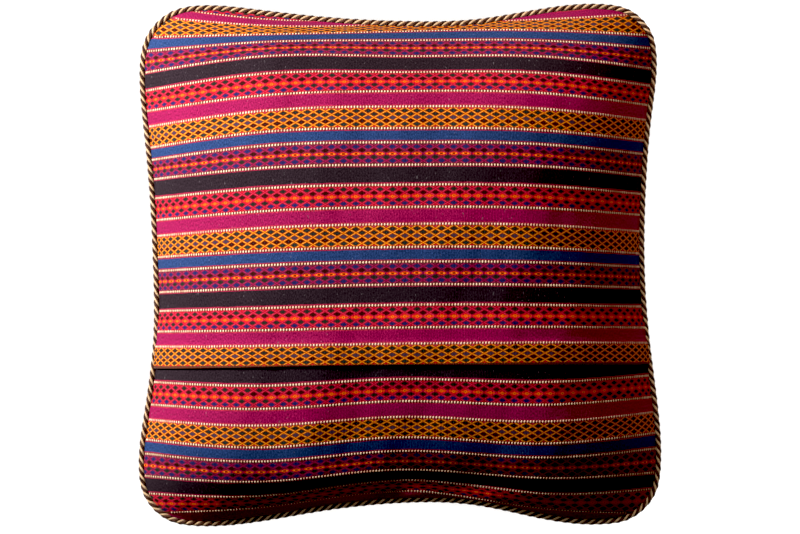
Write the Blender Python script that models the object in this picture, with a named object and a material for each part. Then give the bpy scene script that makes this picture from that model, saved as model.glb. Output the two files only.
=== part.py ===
"""A square kilim cushion lying on its front, with the envelope closure of its back facing up.

Frame: metres, +Z up. X runs along the stripes, +Y is the top of the back, and the origin is on the surface
under the middle of the cushion's bounding box. The cushion is made of four pieces: the filled body, the lower
and the upper back panel, which overlap as an envelope closure, and the twisted piping cord sewn round the seam.
"""

import math

import bmesh
import bpy
import numpy as np

MM = 0.001

# Layers, in millimetres: the gap between pieces, the cloth, the folded hem, and the cord with its seat.
GAP = 0.3
CLOTH = 1.2
HEM = 2.4
CORD_RADIUS = 2.9
CORD_SEAT = 0.55

# Heights of the crown, in millimetres.
SEAM_HEIGHT = 68.0
BACK_CROWN = 82.0
FRONT_PRESS = 1.2
FRONT_ROUNDNESS = 1.5

# The crown's section: (1 - a^CROWN_SPREAD)^CROWN_STEEPNESS, from the middle (a = 0) to the seam (a = 1).
CROWN_SPREAD = 3.0
CROWN_STEEPNESS = 0.74

# Where the outer edge of the cord reaches at each corner, and the radius of that corner, in millimetres.
CORNERS = {
    "bottom_left": {"x": -228.4, "y": -228.4, "radius": 46.0},
    "bottom_right": {"x": 228.4, "y": -227.0, "radius": 47.0},
    "top_right": {"x": 224.9, "y": 228.4, "radius": 44.0},
    "top_left": {"x": -227.5, "y": 227.2, "radius": 50.0},
}

# How far each side is drawn in from the line between its corners, at five places from its first corner to its
# second, counter-clockwise, in millimetres.
SIDE_PLACES = (0.14, 0.32, 0.5, 0.68, 0.86)
SIDES = {
    "bottom": {"first": "bottom_left", "draw_in": (2.0, 12.5, 19.0, 17.0, 3.6)},
    "right": {"first": "bottom_right", "draw_in": (1.2, 8.6, 12.2, 10.4, 4.4)},
    "top": {"first": "top_right", "draw_in": (2.6, 12.6, 14.0, 10.4, 3.2)},
    "left": {"first": "top_left", "draw_in": (2.4, 8.6, 11.9, 12.0, 4.0)},
}
ARC_STEPS = 4
BOX_SAMPLES = 2001

# The seam lies inside the cord. Half its side and the radius of its corners, in millimetres.
SEAM_INSET = 2.0 * CORD_RADIUS + CORD_SEAT
HALF_SIDE = 216.0
SEAM_CORNER = 40.0

# Soft swells and hollows of the back, in millimetres. They fade out towards the seam, where the crown's share is
# under 1 / SWELL_FADE.
SWELL_FADE = 2.0
SWELLS = (
    {"x": -8.0, "y": -186.0, "reach_x": 26.0, "reach_y": 52.0, "rise": -11.0},
    {"x": -118.0, "y": -150.0, "reach_x": 62.0, "reach_y": 48.0, "rise": 5.0},
    {"x": 138.0, "y": -152.0, "reach_x": 64.0, "reach_y": 50.0, "rise": 6.5},
    {"x": 0.0, "y": -120.0, "reach_x": 60.0, "reach_y": 50.0, "rise": -3.0},
    {"x": 36.0, "y": 176.0, "reach_x": 60.0, "reach_y": 40.0, "rise": -4.0},
    {"x": 120.0, "y": 170.0, "reach_x": 60.0, "reach_y": 45.0, "rise": 3.0},
    {"x": -110.0, "y": 160.0, "reach_x": 70.0, "reach_y": 50.0, "rise": 2.5},
)

# The grid of cells over the cushion: its columns, its rows below and above the hem, and the rows of the lower
# panel that are tucked under the flap. Cells are smaller towards the seam by EDGE_DENSITY. SIDE_HOLD is how
# quickly the shape of a side fades out inward. The panels end PANEL_EDGE millimetres inside the seam.
COLUMNS = 24
LOWER_ROWS = 9
UPPER_ROWS = 17
TUCK_ROWS = 2
EDGE_DENSITY = 0.45
SIDE_HOLD = 5
PANEL_EDGE = 0.55
SLOPE_STEP = 1e-4

# The hem of the upper panel, in millimetres: where it meets the sides, how far it bows up in the middle, where
# the crown takes up the cloth, and its rise for each millimetre along X.
HEM_Y = -88.0
HEM_BOW = 4.6
HEM_RISE = 0.008
HEM_SEARCH = (-0.8, 0.0)
HEM_HALVINGS = 40

# The piping cord: four strands in an S twist, STRAND_SPACING millimetres from one to the next along the cord.
STRANDS = 4
STRAND_SPACING = 3.84
STEPS_PER_STRAND = 2

COLOURS = {
    "striped_cloth": (0.42, 0.05, 0.10, 1.0),
    "striped_flap": (0.45, 0.07, 0.08, 1.0),
    "cord_yarn": (0.32, 0.22, 0.14, 1.0),
}
CLOTH_ROUGHNESS = 0.85
SHARP_EDGE = math.radians(40.0)


def clear_scene():
    """Remove every object that the scene holds."""
    for thing in list(bpy.data.objects):
        bpy.data.objects.remove(thing, do_unlink=True)


def yarn_material(name, colour):
    """Return a matt, non-metallic material of one colour."""
    material = bpy.data.materials.new(name)
    material.use_nodes = True
    shader = material.node_tree.nodes["Principled BSDF"]
    shader.inputs["Base Color"].default_value = colour
    shader.inputs["Roughness"].default_value = CLOTH_ROUGHNESS
    shader.inputs["Metallic"].default_value = 0.0
    material.diffuse_color = colour
    return material


def corner_arc(corner):
    """Return the points of one corner's arc, counter-clockwise, in millimetres."""
    side_x = math.copysign(1.0, corner["x"])
    side_y = math.copysign(1.0, corner["y"])
    centre_x = corner["x"] - side_x * corner["radius"]
    centre_y = corner["y"] - side_y * corner["radius"]
    middle = math.atan2(side_y, side_x)
    angles = [middle + math.radians(90.0) * (step / ARC_STEPS - 0.5) for step in range(ARC_STEPS + 1)]
    return [
        (centre_x + corner["radius"] * math.cos(angle), centre_y + corner["radius"] * math.sin(angle))
        for angle in angles
    ]


def side_points(start, end, draw_in):
    """Return the drawn-in points between two corner arcs, in millimetres."""
    start = np.array(start)
    along = np.array(end) - start
    inward = np.array((-along[1], along[0])) / np.hypot(*along)
    return [tuple(start + along * place + inward * depth) for place, depth in zip(SIDE_PLACES, draw_in)]


def closed_spline(points):
    """Return the knots, points and second derivatives of the smooth closed curve through these points."""
    points = np.array(points)
    count = len(points)
    steps = np.linalg.norm(np.roll(points, -1, axis=0) - points, axis=1)
    system = np.zeros((count, count))
    target = np.zeros((count, 2))
    for i in range(count):
        before, after = (i - 1) % count, (i + 1) % count
        system[i, before] = steps[before]
        system[i, i] = 2.0 * (steps[before] + steps[i])
        system[i, after] = steps[i]
        rise_after = (points[after] - points[i]) / steps[i]
        rise_before = (points[i] - points[before]) / steps[before]
        target[i] = 6.0 * (rise_after - rise_before)
    bends = np.linalg.solve(system, target)
    knots = np.concatenate([[0.0], np.cumsum(steps)])
    return knots, points, bends


def on_spline(spline, at):
    """Return the curve's points and its outward unit normals at these distances along it."""
    knots, points, bends = spline
    count = len(points)
    at = np.mod(at, knots[-1])
    span = np.clip(np.searchsorted(knots, at, side="right") - 1, 0, count - 1)
    step = (knots[span + 1] - knots[span])[..., None]
    right = (at - knots[span])[..., None]
    left = step - right
    after = (span + 1) % count
    low = points[span] / step - bends[span] * step / 6.0
    high = points[after] / step - bends[after] * step / 6.0
    place = (bends[span] * left**3 + bends[after] * right**3) / (6.0 * step) + low * left + high * right
    slope = (bends[after] * right**2 - bends[span] * left**2) / (2.0 * step) - low + high
    slope /= np.linalg.norm(slope, axis=-1, keepdims=True)
    return place, np.stack([slope[..., 1], -slope[..., 0]], axis=-1)


def outline():
    """Return the outer line of the cord as a closed curve, and where its four corners lie along it.

    The middle of the curve's bounding box is the origin.
    Each corner is the middle of its arc. The fifth value is the bottom-left corner again, one turn on.
    """
    names = [side["first"] for side in SIDES.values()]
    arcs = [corner_arc(CORNERS[name]) for name in names]
    points = []
    middles = []
    for i, side in enumerate(SIDES.values()):
        middles.append(len(points) + ARC_STEPS // 2)
        points += arcs[i]
        points += side_points(arcs[i][-1], arcs[(i + 1) % len(arcs)][0], side["draw_in"])
    spline = closed_spline(points)
    line, _ = on_spline(spline, np.linspace(0.0, spline[0][-1], BOX_SAMPLES))
    middle = (line.min(axis=0) + line.max(axis=0)) / 2.0
    spline = closed_spline(np.array(points) - middle)
    corners = [spline[0][i] for i in middles]
    return spline, corners + [corners[0] + spline[0][-1]]


OUTLINE, CORNER_PLACES = outline()


def edge_point(side, along, inset):
    """Return points on one side of the outline moved inward, in millimetres.

    Args:
        side: 0 bottom, 1 right, 2 top, 3 left, each counter-clockwise.
        along: 0 at the side's first corner, 1 at its second.
        inset: distance inward from the cord's outer edge.
    """
    start, end = CORNER_PLACES[side], CORNER_PLACES[side + 1]
    place, outward = on_spline(OUTLINE, start + (end - start) * along)
    return place - outward * inset


def plan(s, t):
    """Return the place on the plane of the grid coordinates s and t, from -1 to 1, in millimetres."""
    s, t = np.broadcast_arrays(np.asarray(s, float), np.asarray(t, float))
    u, v = (1.0 + s) / 2.0, (1.0 + t) / 2.0
    bottom_left, bottom_right, top_right, top_left = [edge_point(i, np.zeros(1), SEAM_INSET)[0] for i in range(4)]

    def square(a, b):
        a, b = a[..., None], b[..., None]
        low = bottom_left * (1 - a) + bottom_right * a
        high = top_left * (1 - a) + top_right * a
        return low * (1 - b) + high * b

    zero, one = np.zeros_like(u), np.ones_like(u)
    place = square(u, v)
    place = place + ((1 - v) ** SIDE_HOLD)[..., None] * (edge_point(0, u, SEAM_INSET) - square(u, zero))
    place = place + (v**SIDE_HOLD)[..., None] * (edge_point(2, 1 - u, SEAM_INSET) - square(u, one))
    place = place + (u**SIDE_HOLD)[..., None] * (edge_point(1, v, SEAM_INSET) - square(one, v))
    place = place + ((1 - u) ** SIDE_HOLD)[..., None] * (edge_point(3, 1 - v, SEAM_INSET) - square(zero, v))
    return place


def crown(s, t):
    """Return the share of the crown's full height at s and t: 1 in the middle, 0 at the seam."""
    across = np.clip(1.0 - np.abs(s) ** CROWN_SPREAD, 0.0, 1.0)
    along = np.clip(1.0 - np.abs(t) ** CROWN_SPREAD, 0.0, 1.0)
    return (across * along) ** CROWN_STEEPNESS


def back_surface(s, t):
    """Return the points of the filling's upper surface, which the back panels lie on, in millimetres."""
    s, t = np.broadcast_arrays(np.asarray(s, float), np.asarray(t, float))
    place = plan(s, t)
    share = crown(s, t)
    rise = np.zeros_like(share)
    for swell in SWELLS:
        x = (place[..., 0] - swell["x"]) / swell["reach_x"]
        y = (place[..., 1] - swell["y"]) / swell["reach_y"]
        rise += swell["rise"] * np.exp(-(x * x + y * y))
    height = SEAM_HEIGHT + BACK_CROWN * share + rise * np.minimum(1.0, SWELL_FADE * share)
    return np.concatenate([place, height[..., None]], axis=-1)


def front_surface(s, t):
    """Return the points of the underside, pressed flat where it rests, in millimetres."""
    place = plan(s, t)
    pressed = np.clip(FRONT_PRESS * crown(s, t), 0.0, 1.0)
    height = SEAM_HEIGHT * (1.0 - pressed) ** FRONT_ROUNDNESS
    return np.concatenate([place, height[..., None]], axis=-1)


def lifted(s, t, lift):
    """Return points of the back surface moved out along its normal by lift millimetres."""
    run_s = back_surface(s + SLOPE_STEP, t) - back_surface(s - SLOPE_STEP, t)
    run_t = back_surface(s, t + SLOPE_STEP) - back_surface(s, t - SLOPE_STEP)
    normal = np.cross(run_s, run_t)
    normal /= np.linalg.norm(normal, axis=-1, keepdims=True)
    return back_surface(s, t) + normal * np.asarray(lift)[..., None]


def spaced(count, start_density, end_density):
    """Return count + 1 values from 0 to 1, closer together at an end with a higher density."""
    even = np.linspace(0.0, 1.0, count + 1)
    return even - start_density * even * (1 - even) ** 2 + end_density * even**2 * (1 - even)


def hem_parameter(s):
    """Return the t at which each s meets the line of the upper panel's hem."""
    low, high = np.full_like(s, HEM_SEARCH[0]), np.full_like(s, HEM_SEARCH[1])
    for _ in range(HEM_HALVINGS):
        middle = (low + high) / 2.0
        place = plan(s, middle)
        bow = HEM_BOW * (1.0 - (place[..., 0] / HALF_SIDE) ** 2)
        above = place[..., 1] > HEM_Y + bow + HEM_RISE * place[..., 0]
        high = np.where(above, middle, high)
        low = np.where(above, low, middle)
    return (low + high) / 2.0


def edge_inset(room):
    """Return how far inside the seam, in grid coordinates, the cloth ends at this room from a corner."""
    return PANEL_EDGE / HALF_SIDE * np.maximum(1.0, SEAM_CORNER / (HALF_SIDE * room))


def grid():
    """Return s and t of the grid's points, row by row from the bottom, with its edge just inside the seam."""
    s = 2.0 * spaced(COLUMNS, EDGE_DENSITY, EDGE_DENSITY) - 1.0
    hem = hem_parameter(s)
    lower = spaced(LOWER_ROWS, EDGE_DENSITY, 0.0)[:, None]
    upper = spaced(UPPER_ROWS, 0.0, EDGE_DENSITY)[1:, None]
    t = np.concatenate([-1.0 + (1.0 + hem) * lower, hem + (1.0 - hem) * upper])
    s = np.broadcast_to(s, t.shape).copy()
    diagonal = math.sqrt(PANEL_EDGE * SEAM_CORNER) / HALF_SIDE
    for row in (0, -1):
        t[row, 1:-1] = np.sign(t[row, 1:-1]) * (1.0 - edge_inset(1.0 - np.abs(s[row, 1:-1])))
    for column in (0, -1):
        s[1:-1, column] = np.sign(s[1:-1, column]) * (1.0 - edge_inset(1.0 - np.abs(t[1:-1, column])))
    for row in (0, -1):
        for column in (0, -1):
            s[row, column] = np.sign(s[row, column]) * (1.0 - diagonal)
            t[row, column] = np.sign(t[row, column]) * (1.0 - diagonal)
    return s, t


def rim(rows, columns):
    """Return the (row, column) of a grid's edge points, counter-clockwise from the bottom left."""
    bottom = [(0, column) for column in range(columns - 1)]
    right = [(row, columns - 1) for row in range(rows - 1)]
    top = [(rows - 1, column) for column in range(columns - 1, 0, -1)]
    left = [(row, 0) for row in range(rows - 1, 0, -1)]
    return bottom + right + top + left


def seam_ring(s, t):
    """Return the points of the seam itself, one for each edge point of the grid, in millimetres."""
    points = []
    for row, column in rim(*s.shape):
        across, along = s[row, column], t[row, column]
        on_side = column in (0, s.shape[1] - 1)
        on_end = row in (0, s.shape[0] - 1)
        across = math.copysign(1.0, across) if on_side else across
        along = math.copysign(1.0, along) if on_end else along
        points.append([*plan(across, along), SEAM_HEIGHT])
    return np.array(points)


def cell_triangles(row, column, first_row):
    """Return one cell's two triangles, split along the diagonal that points away from the middle."""
    low, high = row, row + 1
    left, right = column, column + 1
    in_lower_half = row + first_row < (LOWER_ROWS + UPPER_ROWS) // 2
    in_left_half = column < COLUMNS // 2
    if in_lower_half == in_left_half:
        return [((low, left), (low, right), (high, right)), ((low, left), (high, right), (high, left))]
    return [((low, left), (low, right), (high, left)), ((low, right), (high, right), (high, left))]


def solid(name, upper, lower, material, first_row=0, ring=None):
    """Make the closed solid between two surfaces of one grid.

    Args:
        name: name of the object.
        upper: points of the upper surface, rows x columns x 3, in millimetres.
        lower: points of the lower surface, of the same shape.
        material: material of the whole solid.
        first_row: row of the whole cushion's grid that this solid starts at.
        ring: points between the two edges, one for each edge point, or None for a plain edge.
    """
    rows, columns = upper.shape[:2]
    mesh = bmesh.new()
    above = [[mesh.verts.new(point * MM) for point in line] for line in upper]
    below = [[mesh.verts.new(point * MM) for point in line] for line in lower]
    for row in range(rows - 1):
        for column in range(columns - 1):
            for corners in cell_triangles(row, column, first_row):
                mesh.faces.new([above[i][j] for i, j in corners])
                mesh.faces.new([below[i][j] for i, j in reversed(corners)])
    edge = rim(rows, columns)
    levels = [[below[i][j] for i, j in edge], [above[i][j] for i, j in edge]]
    if ring is not None:
        levels.insert(1, [mesh.verts.new(point * MM) for point in ring])
    for under, over in zip(levels, levels[1:]):
        for i, j in zip(range(len(edge)), [*range(1, len(edge)), 0]):
            mesh.faces.new([under[i], under[j], over[j]])
            mesh.faces.new([under[i], over[j], over[i]])
    return finish(name, mesh, material)


def finish(name, mesh, material):
    """Turn a bmesh into a named object with a material and smooth shading."""
    data = bpy.data.meshes.new(name)
    mesh.to_mesh(data)
    mesh.free()
    data.shade_smooth()
    data.set_sharp_from_angle(angle=SHARP_EDGE)
    data.materials.append(material)
    thing = bpy.data.objects.new(name, data)
    bpy.context.scene.collection.objects.link(thing)
    return thing


def cushion_body(s, t, material):
    """Make the filled solid: the front panel, the filling, the crown and the drawn-in sides."""
    return solid("cushion_body", back_surface(s, t), front_surface(s, t), material, ring=seam_ring(s, t))


def lower_back_panel(s, t, material):
    """Make the lower back panel, whose upper edge is tucked under the flap."""
    rows = slice(0, LOWER_ROWS + TUCK_ROWS + 1)
    s, t = s[rows], t[rows]
    lift = np.full_like(s, GAP)
    return solid("lower_back_panel", lifted(s, t, lift + CLOTH), lifted(s, t, lift), material)


def upper_back_panel(s, t, material):
    """Make the upper back panel, which rises over the lower one and ends in a hem of double thickness."""
    rows = slice(LOWER_ROWS, None)
    s, t = s[rows], t[rows]
    lift = np.full_like(s, GAP)
    lift[: TUCK_ROWS + 1] += CLOTH + GAP
    thickness = np.full_like(s, CLOTH)
    thickness[:TUCK_ROWS] = HEM
    top = lifted(s, t, lift + thickness)
    return solid("upper_back_panel", top, lifted(s, t, lift), material, first_row=LOWER_ROWS)


def piping_cord(material):
    """Make the cord round the seam: one ridge for each strand, wound in an S twist."""
    turn = CORNER_PLACES[-1] - CORNER_PLACES[0]
    passes = round(turn / STRAND_SPACING)
    steps = passes * STEPS_PER_STRAND
    places, outward = on_spline(OUTLINE, np.arange(steps) * turn / steps)
    places = places - outward * CORD_RADIUS
    mesh = bmesh.new()
    sections = []
    for step in range(steps):
        section = []
        for strand in range(STRANDS):
            angle = 2.0 * math.pi / STRANDS * (strand + step / STEPS_PER_STRAND)
            flat = places[step] + outward[step] * CORD_RADIUS * math.cos(angle)
            point = (*flat, SEAM_HEIGHT + CORD_RADIUS * math.sin(angle))
            section.append(mesh.verts.new([value * MM for value in point]))
        sections.append(section)
    closing = passes % STRANDS
    sections.append(sections[0][closing:] + sections[0][:closing])
    for here, there in zip(sections, sections[1:]):
        for i, j in zip(range(STRANDS), [*range(1, STRANDS), 0]):
            mesh.faces.new([here[i], there[j], here[j]])
            mesh.faces.new([here[i], there[i], there[j]])
    return finish("piping_cord", mesh, material)


def main():
    """Build the whole cushion."""
    clear_scene()
    cloth = yarn_material("striped_cloth", COLOURS["striped_cloth"])
    flap = yarn_material("striped_flap", COLOURS["striped_flap"])
    cord = yarn_material("cord_yarn", COLOURS["cord_yarn"])
    s, t = grid()
    cushion_body(s, t, cloth)
    lower_back_panel(s, t, cloth)
    upper_back_panel(s, t, flap)
    piping_cord(cord)


main()
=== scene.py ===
"""A square kilim cushion, dressed: striped cloth, envelope closure, raised stitches and twisted piping.

The cushion lies on its front. +Z is up, +X runs along the stripes and +Y points to the top edge of the back.
Sizes are in millimetres unless a name or comment says otherwise, and meshes are written in metres.
"""

import logging
import math
from dataclasses import dataclass, field
from enum import Enum
from typing import Callable

import bpy
import numpy as np
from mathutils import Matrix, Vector


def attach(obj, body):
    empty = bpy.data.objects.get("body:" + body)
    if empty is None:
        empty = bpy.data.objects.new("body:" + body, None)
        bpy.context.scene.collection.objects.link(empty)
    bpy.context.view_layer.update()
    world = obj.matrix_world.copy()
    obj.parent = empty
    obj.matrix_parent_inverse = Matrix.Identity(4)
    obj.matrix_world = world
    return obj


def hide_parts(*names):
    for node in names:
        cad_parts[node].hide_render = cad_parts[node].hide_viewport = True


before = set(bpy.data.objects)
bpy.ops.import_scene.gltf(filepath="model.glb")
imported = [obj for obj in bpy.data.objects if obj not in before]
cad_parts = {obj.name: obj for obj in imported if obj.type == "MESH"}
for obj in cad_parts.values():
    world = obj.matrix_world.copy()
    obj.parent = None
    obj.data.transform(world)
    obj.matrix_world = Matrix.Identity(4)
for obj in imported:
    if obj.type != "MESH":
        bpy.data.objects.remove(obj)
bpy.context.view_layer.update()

LOG = logging.getLogger("kilim_cushion")
MM = 0.001
CLOTH_UV = "Cloth"

Array = np.ndarray
Material = bpy.types.Material
Node = bpy.types.Node
Socket = bpy.types.NodeSocket
Thing = bpy.types.Object
Tree = bpy.types.NodeTree

# Kinds of nodes that are used often, and the settings that mix and multiply colours.
MATH = "ShaderNodeMath"
MIX = "ShaderNodeMix"
NOISE = "ShaderNodeTexNoise"
VECTOR_MATH = "ShaderNodeVectorMath"
BLEND = {"out": 2, "data_type": "RGBA"}
TINT = {**BLEND, "blend_type": "MULTIPLY"}

# X where the cloth's u is zero, in the middle of a lattice cell, and the camera's height over the seam.
ZERO_COLUMN = 4.06
VIEW_HEIGHT = 2400.0

# Cells each way of the grid that holds the cloth's coordinates, and a small step in s or t for directions.
GRID_CELLS = 240
NUDGE = 1e-3
OUTLINE_SAMPLES = 2001

# Rows of stitches: the s or t where they end on the back and on the front, how far in t they stop below the
# hem, how high their middle lies over the cloth, and the height over the floor below which none is laid.
SEAM_LIMIT = 0.9985
FRONT_LIMIT = 0.995
HEM_CLEARANCE = 0.004
STITCH_LIFT = 0.1
FLOOR_CLEARANCE = 5.0

# The lowest and highest v of the rows on each cloth, and where the front's cloth starts in the repeat.
LOWER_SPAN = (-110.0, 68.0)
FLAP_SPAN = (5.0, 400.0)
FRONT_SPAN = (-300.0, 300.0)
FRONT_OFFSET = 30.0


class Face(Enum):
    """The two faces of the cushion."""

    BACK = "back"
    FRONT = "front"


class Yarn(str, Enum):
    """Dyed yarns, and the painted shade of the rows that the stitches sit in, as sRGB hex colours."""

    MAGENTA = "#b02a5e"
    BLUE = "#394f80"
    CHARCOAL = "#3a2f35"
    YELLOW = "#ffab3e"
    TAN = "#a0401c"
    APRICOT = "#ff8c34"
    EMBER = "#f4742e"
    ORANGE = "#e44c20"
    SCARLET = "#cc2230"
    CHERRY = "#a01e30"
    PINK_RED = "#d03c56"
    CRIMSON = "#b43250"
    MULBERRY = "#a42e60"
    WINE = "#722836"
    MAROON = "#3e1e1a"
    GREEN_BLACK = "#2c302a"
    TEAL = "#283630"
    NAVY = "#2c2e60"
    SLATE = "#483c4c"
    ROSE_SHADOW = "#a84858"
    SHADOW = "#7c4a3c"
    CREAM = "#f2d2b2"
    CORD_CREAM = "#d2b28a"
    CORD_BROWN = "#54382e"
    LINT = "#d8ccd0"


@dataclass(frozen=True)
class Corner:
    """One corner of the cord's outer line, in millimetres."""

    x: float
    y: float
    radius: float


@dataclass(frozen=True)
class Side:
    """One side of the cord's outer line: its first corner and how far it is drawn in at SIDE_PLACES."""

    first: str
    draw_in: tuple[float, ...]


@dataclass(frozen=True)
class Swell:
    """A soft swell or hollow of the back: its place, reach each way, rise, and how soon the seam ends it."""

    x: float
    y: float
    reach_x: float
    reach_y: float
    rise: float
    fade: float = 2.0


@dataclass(frozen=True)
class StripeLine:
    """One line of the weave seen from straight above.

    Attributes:
        place: where the line lies along the cloth, above the flap's hem.
        heights: its Y at each of the five stations along X.
    """

    place: float
    heights: tuple[float, float, float, float, float]


SIDE_PLACES = (0.14, 0.32, 0.5, 0.68, 0.86)
CORNERS = {
    "bottom_left": Corner(-228.4, -228.4, 46.0),
    "bottom_right": Corner(228.4, -227.0, 47.0),
    "top_right": Corner(224.9, 228.4, 44.0),
    "top_left": Corner(-227.5, 227.2, 50.0),
}
SIDES = (
    Side("bottom_left", (2.0, 12.5, 19.0, 17.0, 3.6)),
    Side("bottom_right", (1.2, 8.6, 12.2, 10.4, 4.4)),
    Side("top_right", (2.6, 12.6, 14.0, 10.4, 3.2)),
    Side("top_left", (2.4, 8.6, 11.9, 12.0, 4.0)),
)
SWELLS = (
    Swell(-16.0, -202.0, 13.0, 14.0, -10.0, 5.0),
    Swell(11.0, -205.0, 25.0, 13.0, 18.0, 13.0),
    Swell(60.0, -206.0, 48.0, 13.0, 18.0, 13.0),
    Swell(-48.0, -186.0, 54.0, 15.0, 8.0, 3.0),
    Swell(-50.0, -174.0, 95.0, 32.0, 5.0),
    Swell(-130.0, -150.0, 62.0, 48.0, 1.5),
    Swell(138.0, -152.0, 64.0, 50.0, 5.5),
    Swell(0.0, -120.0, 60.0, 50.0, -2.0),
    Swell(36.0, 176.0, 60.0, 40.0, -4.0),
    Swell(120.0, 170.0, 60.0, 45.0, 3.0),
    Swell(-110.0, 160.0, 70.0, 50.0, 2.5),
)

# Where the stripes run, as read: five stations along X, and the height of some stripe edges at each.
STATIONS = (-218.8, -113.8, 0.0, 126.9, 214.4)
FLAP_LINES = (
    StripeLine(0.0, (-89.8, -88.4, -86.9, -85.8, -86.6)),
    StripeLine(35.0, (-58.6, -56.9, -54.5, -54.2, -55.1)),
    StripeLine(72.6, (-24.5, -20.1, -17.2, -17.8, -20.1)),
    StripeLine(105.4, (6.1, 12.6, 15.5, 14.6, 9.6)),
    StripeLine(140.4, (38.5, 47.2, 50.4, 49.3, 43.2)),
    StripeLine(178.0, (74.4, 84.9, 87.3, 85.8, 77.9)),
    StripeLine(210.8, (102.4, 116.4, 119.1, 117.2, 108.5)),
    StripeLine(245.8, (134.8, 148.2, 151.2, 149.6, 140.0)),
    StripeLine(283.4, (168.5, 182.0, 181.6, 181.4, 172.4)),
    StripeLine(303.3, (186.6, 194.2, 195.3, 195.1, 189.5)),
    StripeLine(316.2, (198.8, 200.7, 203.0, 204.2, 200.5)),
    StripeLine(336.3, (217.0, 208.2, 209.3, 213.8, 218.8)),
    StripeLine(351.2, (226.0, 213.5, 213.0, 219.5, 228.0)),
)
LOWER_LINES = (
    StripeLine(-70.4, (-216.1, -210.0, -197.0, -211.8, -216.1)),
    StripeLine(-50.6, (-199.5, -200.4, -187.3, -199.0, -196.0)),
    StripeLine(-32.8, (-184.6, -188.4, -178.3, -185.5, -182.0)),
    StripeLine(0.0, (-153.1, -159.2, -150.3, -155.8, -147.9)),
    StripeLine(35.0, (-122.2, -125.6, -118.9, -122.2, -116.1)),
    StripeLine(54.8, (-102.4, -105.5, -99.6, -102.4, -97.1)),
)


def linear(code: str) -> tuple[float, float, float, float]:
    """Turn an sRGB hex colour into linear values.

    Args:
        code: a colour such as "#a80f4a".

    Returns:
        Red, green, blue and an alpha of 1.
    """
    parts = [int(code[i : i + 2], 16) / 255.0 for i in (1, 3, 5)]
    values = [part / 12.92 if part <= 0.04045 else ((part + 0.055) / 1.055) ** 2.4 for part in parts]
    return (values[0], values[1], values[2], 1.0)


def smooth_step(low: float, high: float, value: Array) -> Array:
    """Return 0 below low, 1 above high, and a smooth rise between."""
    share = np.clip((value - low) / (high - low), 0.0, 1.0)
    return share * share * (3.0 - 2.0 * share)


def add(tree: Tree, kind: str, inputs: dict | tuple = (), out: int | str = 0, **settings: object) -> Socket:
    """Add a node to a tree.

    Args:
        tree: the shader or geometry tree.
        kind: the node's type name.
        inputs: values or output sockets that feed the inputs, in order or by socket name or number.
        out: number or name of the output to hand back.
        **settings: the node's own properties.

    Returns:
        That output socket of the new node, whose .node is the node itself.
    """
    node = tree.nodes.new(kind)
    for name, value in settings.items():
        setattr(node, name, value)
    for key, value in inputs.items() if isinstance(inputs, dict) else enumerate(inputs):
        if isinstance(value, Socket):
            tree.links.new(value, node.inputs[key])
        else:
            node.inputs[key].default_value = value
    return node.outputs[out]


def placed(name: str, data: bpy.types.ID) -> Thing:
    """Return a new object with this data, linked to the scene."""
    thing = bpy.data.objects.new(name, data)
    bpy.context.scene.collection.objects.link(thing)
    return thing


def point_cloud(name: str, points: Array, edges: list, **vectors: Array) -> Thing:
    """Make an object from bare points, for a node tree to build on.

    Args:
        name: the object's name.
        points: the points, in millimetres.
        edges: pairs of points that are joined.
        **vectors: for each name, a vector at each point.

    Returns:
        The new object, in metres.
    """
    data = bpy.data.meshes.new(name)
    data.from_pydata((points * MM).tolist(), edges, [])
    for label, values in vectors.items():
        layer = data.attributes.new(label, "FLOAT_VECTOR", "POINT")
        layer.data.foreach_set("vector", values.ravel())
    return placed(name, data)


class ClosedSpline:
    """The smooth closed curve through a ring of points."""

    def __init__(self, points: Array) -> None:
        """Solve for the curve's bends at its points."""
        count = len(points)
        steps = np.linalg.norm(np.roll(points, -1, axis=0) - points, axis=1)
        system = np.zeros((count, count))
        target = np.zeros((count, 2))
        for i in range(count):
            before, after = (i - 1) % count, (i + 1) % count
            system[i, before] = steps[before]
            system[i, i] = 2.0 * (steps[before] + steps[i])
            system[i, after] = steps[i]
            rise_after = (points[after] - points[i]) / steps[i]
            rise_before = (points[i] - points[before]) / steps[before]
            target[i] = 6.0 * (rise_after - rise_before)
        self.points = points
        self.bends = np.linalg.solve(system, target)
        self.knots = np.concatenate([[0.0], np.cumsum(steps)])

    def at(self, distance: Array) -> tuple[Array, Array]:
        """Return the curve's points and outward unit normals at these distances along it."""
        count = len(self.points)
        distance = np.mod(distance, self.knots[-1])
        span = np.clip(np.searchsorted(self.knots, distance, side="right") - 1, 0, count - 1)
        step = (self.knots[span + 1] - self.knots[span])[..., None]
        right = (distance - self.knots[span])[..., None]
        left = step - right
        after = (span + 1) % count
        low = self.points[span] / step - self.bends[span] * step / 6.0
        high = self.points[after] / step - self.bends[after] * step / 6.0
        cubic = (self.bends[span] * left**3 + self.bends[after] * right**3) / (6.0 * step)
        slope = (self.bends[after] * right**2 - self.bends[span] * left**2) / (2.0 * step) - low + high
        slope /= np.linalg.norm(slope, axis=-1, keepdims=True)
        return cubic + low * left + high * right, np.stack([slope[..., 1], -slope[..., 0]], axis=-1)


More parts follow.
